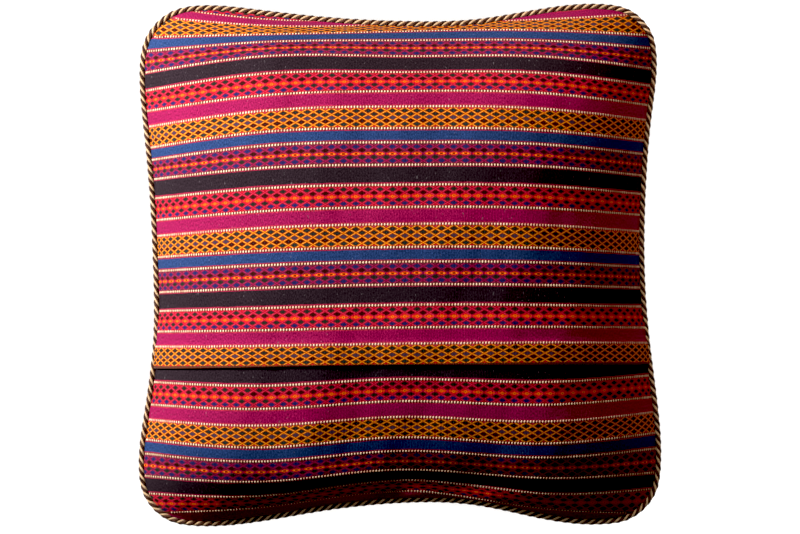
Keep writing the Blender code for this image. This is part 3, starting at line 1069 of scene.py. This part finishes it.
            crossing = ramp(tree, cross, ((0.0, "#ffffff"), (0.3, brocade.crossing)))
            ground = add(tree, MIX, {"Factor": 1.0, 6: ground, 7: crossing}, **TINT)
            cell = add(tree, MIX, {"Factor": inner, 6: ground, 7: cell}, **BLEND)
            if brocade.motif:
                motif = ramp(tree, arm, brocade.motif)
                cell = add(tree, MIX, {"Factor": middle_row, 6: cell, 7: motif}, **BLEND)
            cell = add(tree, MIX, {"Factor": speck, 6: cell, 7: linear(brocade.speck)}, **BLEND)
            base = add(tree, MIX, {"Factor": mask, 6: base, 7: cell}, **BLEND)
        inside = add(tree, MATH, (masks[0], masks[1]), operation="ADD")
        inside = add(tree, MATH, (inside, masks[2]), operation="ADD")
        outline = add(tree, MATH, (1.0, inner), operation="SUBTRACT")
        relief = add(tree, MATH, (outline, inside), operation="MULTIPLY")
        return base, relief

    def cell(self, tree: Tree, along: Socket, across: Socket) -> tuple[Socket, ...]:
        """Return how far a place is from its cell's heart, how near a crossing, its row, and the arms' reach.

        Args:
            tree: the shader tree.
            along: place along the stripe, in millimetres.
            across: place across the stripe, from its middle.

        Returns:
            The longer and the shorter share of the way to the cell's edges, from 0 to 0.5, the row, from -3
            to 3, and the reach as measured by a diamond of half the height, whose points make long thin arms.
        """
        wide = add(tree, MATH, (along, self.repeat.lattice_width), operation="DIVIDE")
        high = add(tree, MATH, (across, self.repeat.lattice_height), operation="DIVIDE")
        spans, sizes, cells = [], [], []
        for operation in ("ADD", "SUBTRACT"):
            value = add(tree, MATH, (wide, high), operation=operation)
            cells.append(add(tree, MATH, (value,), operation="ROUND"))
            spans.append(add(tree, MATH, (value, cells[-1]), operation="SUBTRACT"))
            sizes.append(add(tree, MATH, (spans[-1],), operation="ABSOLUTE"))
        reach = add(tree, MATH, (sizes[0], sizes[1]), operation="MAXIMUM")
        cross = add(tree, MATH, (sizes[0], sizes[1]), operation="MINIMUM")
        row = add(tree, MATH, (cells[0], cells[1]), operation="SUBTRACT")
        rise = add(tree, MATH, (spans[0], spans[1]), operation="SUBTRACT")
        rise = add(tree, MATH, (rise,), operation="ABSOLUTE")
        arm = add(tree, MATH, (rise, 0.5, reach), operation="MULTIPLY_ADD")
        return reach, cross, row, arm

    def stitches(self, tree: Tree, along: Socket, phase: Socket, colour: Socket) -> Socket:
        """Return the colour with a cream stitch at each pitch of every dark row."""
        pitch = self.repeat.stitch_pitch
        turn = add(tree, MATH, (along, pitch), operation="FLOORED_MODULO")
        on_stitch = add(tree, MATH, (turn, pitch / 2, self.stitch_half[0]), operation="COMPARE")
        for edge in np.cumsum((0.0,) + self.repeat.widths):
            row = add(tree, MATH, (phase, float(edge), self.stitch_half[1]), operation="COMPARE")
            both = add(tree, MATH, (row, on_stitch), operation="MULTIPLY")
            colour = add(tree, MIX, {"Factor": both, 6: colour, 7: linear(Yarn.CREAM)}, **BLEND)
        return colour


class NodeTool:
    """A Geometry Nodes tree with named sizes, run once over an object and applied."""

    def __init__(self, name: str, sizes: dict[str, float]) -> None:
        """Make the tree and its named inputs."""
        self.tree = bpy.data.node_groups.new(name, "GeometryNodeTree")
        self.tree.is_modifier = True
        self.sizes = sizes
        sockets = self.tree.interface
        sockets.new_socket("Geometry", in_out="INPUT", socket_type="NodeSocketGeometry")
        for label, size in sizes.items():
            sockets.new_socket(label, in_out="INPUT", socket_type="NodeSocketFloat").default_value = size
        sockets.new_socket("Geometry", in_out="OUTPUT", socket_type="NodeSocketGeometry")
        self.given = self.tree.nodes.new("NodeGroupInput").outputs

    def close(self, geometry: Socket) -> None:
        """Feed the tree's output."""
        self.tree.links.new(geometry, self.tree.nodes.new("NodeGroupOutput").inputs[0])

    def run(self, thing: Thing) -> None:
        """Run the tree on an object and keep the result as its plain mesh."""
        modifier = thing.modifiers.new(self.tree.name, "NODES")
        modifier.node_group = self.tree
        for item in self.tree.interface.items_tree:
            if item.item_type == "SOCKET" and item.in_out == "INPUT" and item.name in self.sizes:
                modifier[item.identifier] = self.sizes[item.name]
        graph = bpy.context.evaluated_depsgraph_get()
        made = bpy.data.meshes.new_from_object(
            thing.evaluated_get(graph), preserve_all_data_layers=True, depsgraph=graph
        )
        thing.modifiers.remove(modifier)
        thing.data = made


@dataclass
class FloatStitches:
    """Rows of raised cream float stitches along the edges of the stripes.

    Attributes:
        name: name of the piece.
        cloth: the cloth's coordinates on the face that they lie on.
        repeat: widths of the stripes and pitch of the stitches.
        lift: height of the stitches' middle over the filling.
        span: lowest and highest place of a row along the cloth.
        offset: where the cloth's v starts in the repeat.
        width: width of a stitch along the stripes.
        length: length of a stitch across the stripes.
        height: full height of a stitch, half of it sunk in the cloth.
        variation: share by which stitches differ in size.
    """

    name: str
    cloth: ClothMap
    repeat: Repeat
    lift: Callable[[Array, Array], Array]
    span: tuple[float, float]
    offset: float = 0.0
    width: float = 1.6
    length: float = 2.5
    height: float = 0.6
    variation: float = 0.07

    def build(self, low: Array, high: Array, material: Material) -> Thing:
        """Make the stitches between two lines over the cushion.

        Args:
            low: the lowest t for each even s of the cloth's grid.
            high: the highest t there.
            material: finish of the stitches.

        Returns:
            The piece.
        """
        form, face = self.cloth.form, self.cloth.face
        rows = []
        for edge in self.repeat.edges(self.span[0] + self.offset, self.span[1] + self.offset):
            s, t = self.cloth.line(edge - self.offset, self.repeat.stitch_pitch, low, high)
            if face is Face.FRONT:
                off_floor = form.surface(face, s, t)[..., 2] > FLOOR_CLEARANCE
                s, t = s[off_floor], t[off_floor]
            rows.append(np.stack([s, t], axis=-1))
        places = np.concatenate(rows)
        s, t = places[:, 0], places[:, 1]
        points = form.lifted(face, s, t, self.lift(s, t))
        along = form.surface(face, s + NUDGE, t) - form.surface(face, s - NUDGE, t)
        along /= np.linalg.norm(along, axis=-1, keepdims=True)
        thing = point_cloud(self.name, points, [], outward=form.outward(face, s, t), along=along)
        self.tool(material).run(thing)
        LOG.info("%s: %d stitches", self.name, len(points))
        return thing

    def tool(self, material: Material) -> NodeTool:
        """Return the tree that lays one stitch on each point, turned to the cloth."""
        sizes = {
            "Width": self.width * MM,
            "Length": self.length * MM,
            "Height": self.height * MM,
            "Variation": self.variation,
        }
        tool = NodeTool(self.name + "_tree", sizes)
        tree, given = tool.tree, tool.given
        ball = add(tree, "GeometryNodeMeshUVSphere", {"Segments": 6, "Rings": 4, "Radius": 0.5}, out="Mesh")
        scale = add(tree, "ShaderNodeCombineXYZ", (given["Width"], given["Length"], given["Height"]))
        stitch = add(tree, "GeometryNodeTransform", {"Geometry": ball, "Scale": scale})
        outward = add(tree, "GeometryNodeInputNamedAttribute", {"Name": "outward"}, data_type="FLOAT_VECTOR")
        along = add(tree, "GeometryNodeInputNamedAttribute", {"Name": "along"}, data_type="FLOAT_VECTOR")
        turned = add(tree, "FunctionNodeAlignRotationToVector", {"Vector": outward}, axis="Z")
        facing = {"Rotation": turned, "Vector": along}
        turned = add(tree, "FunctionNodeAlignRotationToVector", facing, axis="X", pivot_axis="Z")
        least = add(tree, MATH, (1.0, given["Variation"]), operation="SUBTRACT")
        most = add(tree, MATH, (1.0, given["Variation"]), operation="ADD")
        size = add(tree, "FunctionNodeRandomValue", {2: least, 3: most, "Seed": 7}, 1, data_type="FLOAT")
        laying = {"Points": given["Geometry"], "Instance": stitch, "Rotation": turned, "Scale": size}
        laid = add(tree, "GeometryNodeInstanceOnPoints", laying)
        real = add(tree, "GeometryNodeRealizeInstances", (laid,))
        smooth = add(tree, "GeometryNodeSetShadeSmooth", (real,))
        tool.close(add(tree, "GeometryNodeSetMaterial", {"Geometry": smooth, "Material": material}))
        return tool


@dataclass
class PipingCord:
    """The twisted cord sewn round the seam: two cream strands and two brown ones, in an S twist.

    Attributes:
        form: the cushion's shape, which holds the cord's line.
        lay: length of one whole turn of the twist.
        strand_radius: radius of each brown strand.
        cream_share: radius of a cream strand, as a share of a brown one's.
        wind_radius: radius of the strands' middle lines.
        step: distance between the points of a strand.
        points: points of the line that it is wound on.
    """

    form: CushionForm
    lay: float = 15.4
    strand_radius: float = 1.42
    cream_share: float = 0.7
    wind_radius: float = 1.5
    step: float = 1.2
    points: int = 1200

    def build(self, cream: Material, brown: Material) -> Thing:
        """Make the cord and return it."""
        line, outward = self.form.cord_line(self.points)
        ring = [(i, (i + 1) % self.points) for i in range(self.points)]
        thing = point_cloud("piping", line, ring, outward=outward)
        length = float(np.linalg.norm(np.roll(line, -1, axis=0) - line, axis=1).sum())
        lay = length / round(length / self.lay)
        self.tool(lay, cream, brown).run(thing)
        LOG.info("piping: %.0f mm long, %.2f mm lay", length, lay)
        return thing

    def tool(self, lay: float, cream: Material, brown: Material) -> NodeTool:
        """Return the tree that winds four strands round the line."""
        sizes = {
            "Lay": lay * MM,
            "Strand Radius": self.strand_radius * MM,
            "Wind Radius": self.wind_radius * MM,
            "Cream Share": self.cream_share,
            "Step": self.step * MM,
        }
        tool = NodeTool("piping_tree", sizes)
        tree, given = tool.tree, tool.given
        curve = add(tree, "GeometryNodeMeshToCurve", (given["Geometry"],))
        spacing = {"Curve": curve, "Length": given["Step"]}
        curve = add(tree, "GeometryNodeResampleCurve", spacing, mode="LENGTH")
        copies = add(tree, "GeometryNodeDuplicateElements", {"Geometry": curve, "Amount": 4}, domain="SPLINE")
        number = copies.node.outputs["Duplicate Index"]
        length = add(tree, "GeometryNodeSplineParameter", out="Length")
        turns = add(tree, MATH, (length, given["Lay"]), operation="DIVIDE")
        start = add(tree, MATH, (number, 0.25, turns), operation="MULTIPLY_ADD")
        angle = add(tree, MATH, (start, 2.0 * math.pi), operation="MULTIPLY")
        side = add(tree, MATH, (angle,), operation="COSINE")
        side = add(tree, MATH, (side, given["Wind Radius"]), operation="MULTIPLY")
        rise = add(tree, MATH, (angle,), operation="SINE")
        rise = add(tree, MATH, (rise, given["Wind Radius"]), operation="MULTIPLY")
        outward = add(tree, "GeometryNodeInputNamedAttribute", {"Name": "outward"}, data_type="FLOAT_VECTOR")
        out = add(tree, VECTOR_MATH, {0: outward, "Scale": side}, operation="SCALE")
        up = add(tree, "ShaderNodeCombineXYZ", {2: rise})
        shift = add(tree, VECTOR_MATH, (out, up), operation="ADD")
        store, point = "GeometryNodeStoreNamedAttribute", {"data_type": "FLOAT", "domain": "POINT"}
        marked = add(tree, store, {"Geometry": copies, "Name": "along", "Value": length}, **point)
        marked = add(tree, store, {"Geometry": marked, "Name": "strand", "Value": number}, **point)
        wound = add(tree, "GeometryNodeSetPosition", {"Geometry": marked, "Offset": shift})
        pair = add(tree, MATH, (number, 2.0), operation="MODULO")
        shares = {"Value": pair, "To Min": given["Cream Share"], "To Max": 1.0}
        share = add(tree, "ShaderNodeMapRange", shares)
        circle = {"Resolution": 8, "Radius": given["Strand Radius"]}
        ring = add(tree, "GeometryNodeCurvePrimitiveCircle", circle)
        factor = add(tree, "GeometryNodeSplineParameter", out="Factor")
        ring = add(tree, store, {"Geometry": ring, "Name": "around", "Value": factor}, **point)
        tubes = {"Curve": wound, "Profile Curve": ring, "Scale": share}
        strands = add(tree, "GeometryNodeCurveToMesh", tubes)
        strands = add(tree, "GeometryNodeRealizeInstances", (strands,))
        strands = add(tree, "GeometryNodeSetShadeSmooth", (strands,))
        strands = add(tree, "GeometryNodeSetMaterial", {"Geometry": strands, "Material": cream})
        strand = add(tree, "GeometryNodeInputNamedAttribute", {"Name": "strand"}, data_type="FLOAT")
        pair = add(tree, MATH, (strand, 2.0), operation="MODULO")
        odd = add(tree, MATH, (pair, 0.5), operation="GREATER_THAN")
        finish = {"Geometry": strands, "Selection": odd, "Material": brown}
        tool.close(add(tree, "GeometryNodeSetMaterial", finish))
        return tool


@dataclass
class EnvelopeBack:
    """The two back panels, which overlap as an envelope closure.

    Attributes:
        form: the cushion's shape.
        gap: room between two layers.
        cloth: thickness of the cloth.
        hem: thickness of the folded hem.
        hem_depth: depth of the hem.
        hem_ease: over what length the hem thins to one layer.
        tuck: how far the lower panel runs on under the flap.
        ledge: over what length the flap comes down behind the lower panel's edge.
        edge: how far inside the seam the panels end.
        overhang: how far their rounded edges stand out again towards the cord.
        cell: size of a cell of the mesh.
    """

    form: CushionForm
    gap: float = 0.3
    cloth: float = 1.2
    hem: float = 2.4
    hem_depth: float = 17.0
    hem_ease: float = 5.0
    tuck: float = 34.0
    ledge: float = 14.0
    edge: float = 0.5
    overhang: float = 0.8
    cell: float = 2.4

    def above_hem(self, s: Array, t: Array) -> Array:
        """Return how far above the hem's line a place lies."""
        return (t - self.form.hem(s)) * self.form.half_side

    def flap_lift(self, s: Array, t: Array) -> Array:
        """Return the height of the flap's under side over the filling."""
        up = self.above_hem(s, t)
        return self.gap + (self.cloth + self.gap) * (1.0 - smooth_step(self.tuck, self.tuck + self.ledge, up))

    def flap_thickness(self, s: Array, t: Array) -> Array:
        """Return the flap's thickness, double in its hem."""
        up = self.above_hem(s, t)
        double = 1.0 - smooth_step(self.hem_depth, self.hem_depth + self.hem_ease, up)
        return self.cloth + (self.hem - self.cloth) * double

    def flap_top(self, s: Array, t: Array) -> Array:
        """Return the height of the flap's upper side over the filling."""
        return self.flap_lift(s, t) + self.flap_thickness(s, t)

    def lower_top(self, s: Array, t: Array) -> Array:
        """Return the height of the lower panel's upper side over the filling."""
        return np.full_like(s, self.gap + self.cloth)

    def sheet(
        self,
        name: str,
        start: Array,
        end: Array,
        cloth: ClothMap,
        lifts: tuple[Callable, Callable],
        folded: bool,
    ) -> Thing:
        """Make one panel.

        Args:
            name: name of the piece.
            start: the t of its lower edge in each column.
            end: the t of its upper edge there.
            cloth: the cloth's coordinates.
            lifts: give the heights of its under and upper side.
            folded: True where its lower edge is a rounded fold.

        Returns:
            The piece.
        """
        form = self.form
        limit = 1.0 - self.edge / form.half_side
        columns = round(2.0 * form.half_side / self.cell)
        rows = round(float(np.mean(end - start)) * form.half_side / self.cell)
        s = np.linspace(-limit, limit, columns + 1)
        low = np.interp(s, self.even, start)
        high = np.interp(s, self.even, end)
        share = np.linspace(0.0, 1.0, rows + 1)[:, None]
        t = low + (high - low) * share
        s = np.broadcast_to(s, t.shape).copy()
        under, over = lifts[0](s, t), lifts[1](s, t)
        upper = form.lifted(Face.BACK, s, t, over)
        lower = form.lifted(Face.BACK, s, t, under)
        flat = np.stack(cloth.at(s, t), axis=-1)
        edge = np.array(Solid.rim(*s.shape))
        step = form.surface(Face.BACK, s[0], t[0] - NUDGE) - form.surface(Face.BACK, s[0], t[0])
        step /= np.linalg.norm(step, axis=-1, keepdims=True)
        out = np.zeros((*s.shape, 3))
        for end, way in ((0, -1), (-1, 1)):
            out[end, :, :2] += form.plan(s[end], t[end]) - form.plan(s[end], t[end] - way * NUDGE)
            side_s, side_t = s[:, end], t[:, end]
            out[:, end, :2] += form.plan(side_s, side_t) - form.plan(side_s - way * NUDGE, side_t)
        out /= np.maximum(np.linalg.norm(out, axis=-1, keepdims=True), 1e-9)
        bulges = out[edge[:, 0], edge[:, 1]] * self.overhang
        if folded:
            first = edge[:, 0] == 0
            half = (over - under)[0] / 2
            bulges[first] = (step * half[:, None])[edge[first, 1]]
        return Solid.between(name, upper, lower, (flat, flat), bulges)

    @property
    def even(self) -> Array:
        """Return the even s that the edges are given at."""
        return np.linspace(-1.0, 1.0, GRID_CELLS + 1)

    def build_flap(self, cloth: ClothMap) -> Thing:
        """Make the upper panel, whose hem is the fold at its lower edge."""
        limit = 1.0 - self.edge / self.form.half_side
        hem = self.form.hem(self.even)
        lifts = (self.flap_lift, self.flap_top)
        return self.sheet("flap_panel", hem, np.full_like(hem, limit), cloth, lifts, folded=True)

    def build_lower(self, cloth: ClothMap) -> Thing:
        """Make the lower panel, which runs on under the flap."""
        limit = 1.0 - self.edge / self.form.half_side
        end = self.form.hem(self.even) + self.tuck / self.form.half_side

        def under(s: Array, t: Array) -> Array:
            """Return the height of the lower panel's under side."""
            return np.full_like(s, self.gap)

        lifts = (under, self.lower_top)
        return self.sheet("lower_panel", np.full_like(end, -limit), end, cloth, lifts, folded=False)


@dataclass
class FilledBody:
    """The front panel and its filling, as one padded solid.

    Attributes:
        form: the cushion's shape.
        cells: cells of the mesh each way.
    """

    form: CushionForm
    cells: int = 150

    def build(self, cloth: ClothMap) -> Thing:
        """Make the body, with the front panel's stripes on it."""
        even = np.linspace(-1.0, 1.0, self.cells + 1)
        s, t = np.meshgrid(even, even)
        upper = self.form.surface(Face.BACK, s, t)
        lower = self.form.surface(Face.FRONT, s, t)
        flat = np.stack(cloth.at(s, t), axis=-1)
        return Solid.between("filled_cushion", upper, lower, (flat, flat))


@dataclass(frozen=True)
class Lamp:
    """One soft square light.

    Attributes:
        name: its name.
        place: where it stands, in metres.
        aim: the place that it points at, in metres.
        size: length of its side, in metres.
        power: its power, in watts.
        group: which of the studio's groups it lights.
        colour: its tint, in linear values.
    """

    name: str
    place: tuple[float, float, float]
    aim: tuple[float, float, float]
    size: float
    power: float
    group: str
    colour: tuple[float, float, float] = (1.0, 1.0, 1.0)


# The key light stands low at the upper left, which shades the lower right. The weak fill is warm, because the
# photo's shade is red. The cord has two lights of its own that let its twist read, and the floor has a wash.
LAMPS = (
    Lamp("key", (-1.02, 0.56, 0.72), (0.0, 0.0, 0.09), 0.35, 39.0, "cushion"),
    Lamp("fill", (0.9, 0.95, 0.6), (0.15, 0.05, 0.08), 0.5, 6.2, "cushion", (1.0, 0.72, 0.6)),
    Lamp("rim", (0.55, 0.8, 0.8), (0.2, 0.1, 0.07), 0.4, 5.2, "trim"),
    Lamp("top", (0.1, -0.35, 1.5), (0.0, 0.0, 0.07), 0.6, 4.0, "trim"),
    Lamp("floor_wash", (0.0, 0.0, 2.6), (0.0, 0.0, 0.0), 3.6, 215.0, "ground"),
)


@dataclass
class Studio:
    """A pale floor, soft light from the left and a camera straight above.

    Attributes:
        form: the cushion's shape.
        pieces: the cushion's pieces, which the key light is for.
        view_width: width of the picture at the height of the seam.
        centre_y: Y of the picture's middle.
        black_level: linear value shown as black, which gives the photo's deep shadows.
        sky: strength of the white light from all round.
        floor_half: half the floor's side, in metres.
    """

    form: CushionForm
    pieces: list[Thing]
    view_width: float = 700.0
    centre_y: float = -1.75
    black_level: float = 0.017
    sky: float = 0.08
    floor_half: float = 6.0

    def build(self) -> None:
        """Make the floor, the lights, the background and the camera."""
        groups = {"cushion": self.pieces, "ground": [self.floor()], "trim": [bpy.data.objects["piping"]]}
        lit = {name: bpy.data.collections.new(name) for name in groups}
        for name, members in groups.items():
            for member in members:
                lit[name].objects.link(member)
        for lamp in LAMPS:
            self.light(lamp).light_linking.receiver_collection = lit[lamp.group]
        world = bpy.data.worlds.new("studio")
        bpy.context.scene.world = world
        world.use_nodes = True
        background = world.node_tree.nodes["Background"]
        background.inputs["Color"].default_value = (1.0, 1.0, 1.0, 1.0)
        background.inputs["Strength"].default_value = self.sky
        view = bpy.context.scene.view_settings
        view.view_transform = "Standard"
        view.use_curve_mapping = True
        view.curve_mapping.black_level = (self.black_level,) * 3
        view.curve_mapping.update()
        self.camera()

    def floor(self) -> Thing:
        """Make the pale floor and return it."""
        half = self.floor_half
        corners = [(-half, -half, 0.0), (half, -half, 0.0), (half, half, 0.0), (-half, half, 0.0)]
        data = bpy.data.meshes.new("floor")
        data.from_pydata(corners, [], [(0, 1, 2, 3)])
        thing = placed("floor", data)
        # Matt off-white card: it reads as the plain ground of the photo.
        material = bpy.data.materials.new("pale_card")
        material.use_nodes = True
        shader = material.node_tree.nodes["Principled BSDF"]
        shader.inputs["Base Color"].default_value = linear("#f2f1ef")
        shader.inputs["Roughness"].default_value = 0.9
        data.materials.append(material)
        # A white floor would bounce light onto the cushion's sides, and the photo shows none there.
        thing.visible_diffuse = False
        return thing

    def light(self, lamp: Lamp) -> Thing:
        """Make one soft square light that points at its aim, and return it."""
        data = bpy.data.lights.new(lamp.name, "AREA")
        data.size = lamp.size
        data.energy = lamp.power
        data.color = lamp.colour
        thing = placed(lamp.name, data)
        thing.location = lamp.place
        thing.rotation_euler = (Vector(lamp.aim) - Vector(lamp.place)).to_track_quat("-Z", "Y").to_euler()
        return thing

    def camera(self) -> None:
        """Make the camera, straight above the cushion."""
        data = bpy.data.cameras.new("camera")
        data.lens = data.sensor_width * VIEW_HEIGHT / self.view_width
        data.clip_end = 20.0
        thing = placed("camera", data)
        thing.location = (0.0, self.centre_y * MM, (self.form.seam_height + VIEW_HEIGHT) * MM)
        bpy.context.scene.camera = thing


def report(piece: Thing, slot: str, *nodes: str) -> None:
    """Attach a finished piece to the root empty, hide the model's parts that it replaces, and log its size.
    """
    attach(piece, "root")
    if nodes:
        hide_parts(*nodes)
    piece.data.calc_loop_triangles()
    LOG.info("%s: %d triangles", piece.name, len(piece.data.loop_triangles))


def main() -> None:
    logging.basicConfig(level=logging.INFO, format="%(name)s %(message)s")
    form = CushionForm()
    repeat = Repeat()

    flap_map = ClothMap(form, Face.BACK, across_by_lines(FLAP_LINES, form))
    lower_map = ClothMap(form, Face.BACK, across_by_lines(LOWER_LINES, form))
    front_map = ClothMap(form, Face.FRONT, across_by_length)
    even = flap_map.even
    hem = form.hem(even)
    back = EnvelopeBack(form)

    body = FilledBody(form).build(front_map)
    body.data.materials.append(KilimWeave("wool_kilim_front", repeat, True, FRONT_OFFSET).build())
    report(body, "striped_cloth", "cushion_body")

    cotton = CottonFloat().build()
    lower = back.build_lower(lower_map)
    lower.data.materials.append(KilimWeave("wool_kilim_lower", repeat).build())
    report(lower, "striped_cloth", "lower_back_panel")
    lower_stitches = FloatStitches(
        "lower_stitches", lower_map, repeat, lambda s, t: back.lower_top(s, t) + STITCH_LIFT, LOWER_SPAN
    ).build(np.full_like(even, -SEAM_LIMIT), hem - HEM_CLEARANCE, cotton)
    report(lower_stitches, "striped_cloth")

    flap = back.build_flap(flap_map)
    flap.data.materials.append(KilimWeave("wool_kilim_flap", repeat).build())
    report(flap, "striped_flap", "upper_back_panel")
    flap_stitches = FloatStitches(
        "flap_stitches", flap_map, repeat, lambda s, t: back.flap_top(s, t) + STITCH_LIFT, FLAP_SPAN
    ).build(hem, np.full_like(even, SEAM_LIMIT), cotton)
    report(flap_stitches, "striped_flap")

    front_stitches = FloatStitches(
        "front_stitches",
        front_map,
        repeat,
        lambda s, t: np.full_like(s, STITCH_LIFT),
        FRONT_SPAN,
        FRONT_OFFSET,
    ).build(np.full_like(even, -FRONT_LIMIT), np.full_like(even, FRONT_LIMIT), cotton)
    report(front_stitches, "striped_cloth")

    # Each cord yarn reaches its darker stop in its ply grooves, as painted shade, and in its fibres' uneven
    # tone.
    cream = CordYarn("twisted_cotton_cream", Yarn.CORD_CREAM, "#a88666").build()
    brown = CordYarn("twisted_cotton_brown", Yarn.CORD_BROWN, "#20110c").build()
    piping = PipingCord(form).build(cream, brown)
    report(piping, "cord_yarn", "piping_cord")

    Studio(form, [body, lower, lower_stitches, flap, flap_stitches, front_stitches, piping]).build()


if __name__ == "__main__":
    main()
